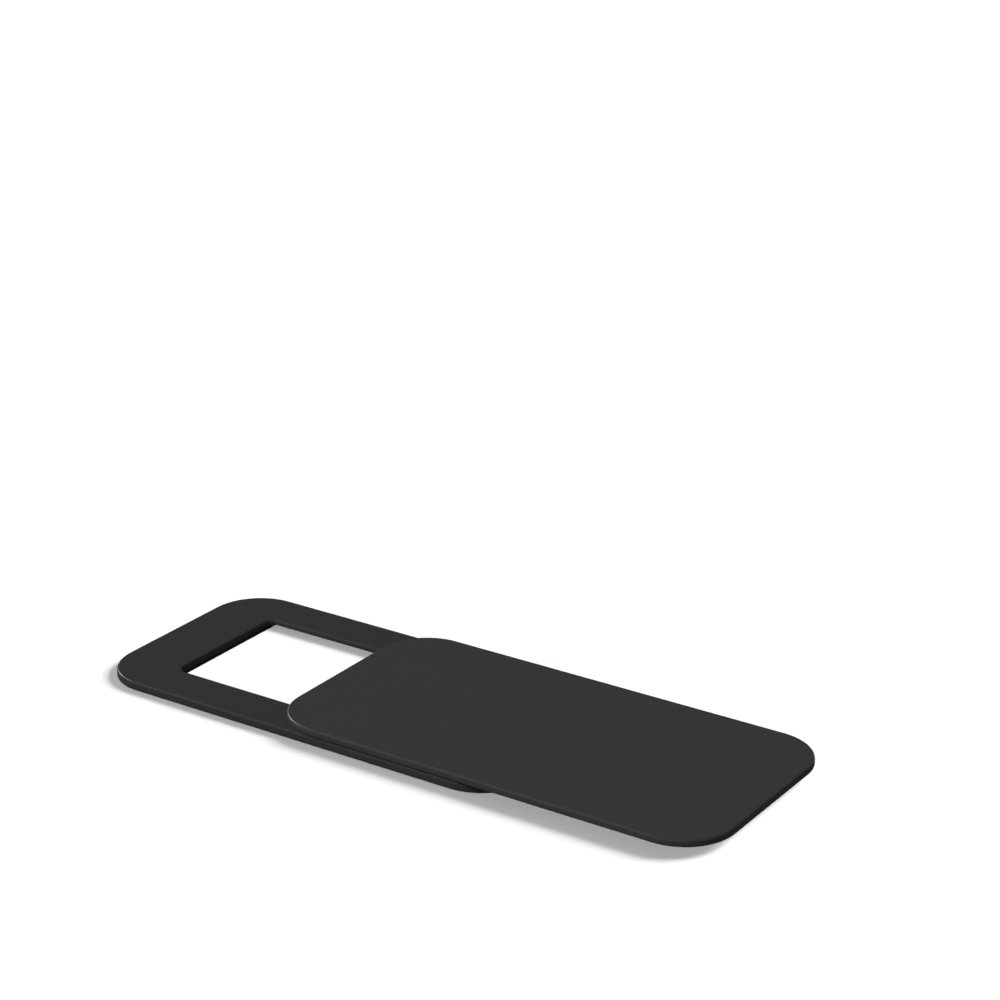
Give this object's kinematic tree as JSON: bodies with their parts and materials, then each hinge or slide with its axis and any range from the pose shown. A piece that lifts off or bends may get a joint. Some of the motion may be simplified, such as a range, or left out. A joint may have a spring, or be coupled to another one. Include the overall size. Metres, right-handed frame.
{
  "type": "webcam cover slider",
  "caption": "Thin stick-on webcam cover: a flat black frame with a camera window and a plate of the same outline that slides along it to open or close the window.",
  "frame": {"origin": "centre of the open camera window, on the surface that the adhesive pad sticks to", "axes": "+X is the way the cover opens, along the plates' length; +Z points away from the mounting surface; +Y across the plates"},
  "size_m": [0.0259, 0.0092, 0.0007],
  "materials": {
    "coated_plate": "matte black coating on thin sheet",
    "shoe_steel": "black oxide on etched sheet",
    "adhesive": "black acrylic adhesive film"
  },
  "bodies": {
    "base": {"base_frame": "coated_plate", "adhesive_pad": "adhesive"},
    "cover": {"slide_cover": "coated_plate", "guide_shoe": "shoe_steel"}
  },
  "joints": [
    {"name": "cover_slide", "type": "slide", "parent": "base", "child": "cover", "axis": [1, 0, 0], "range_m": [-0.008, 0]}
  ]
}
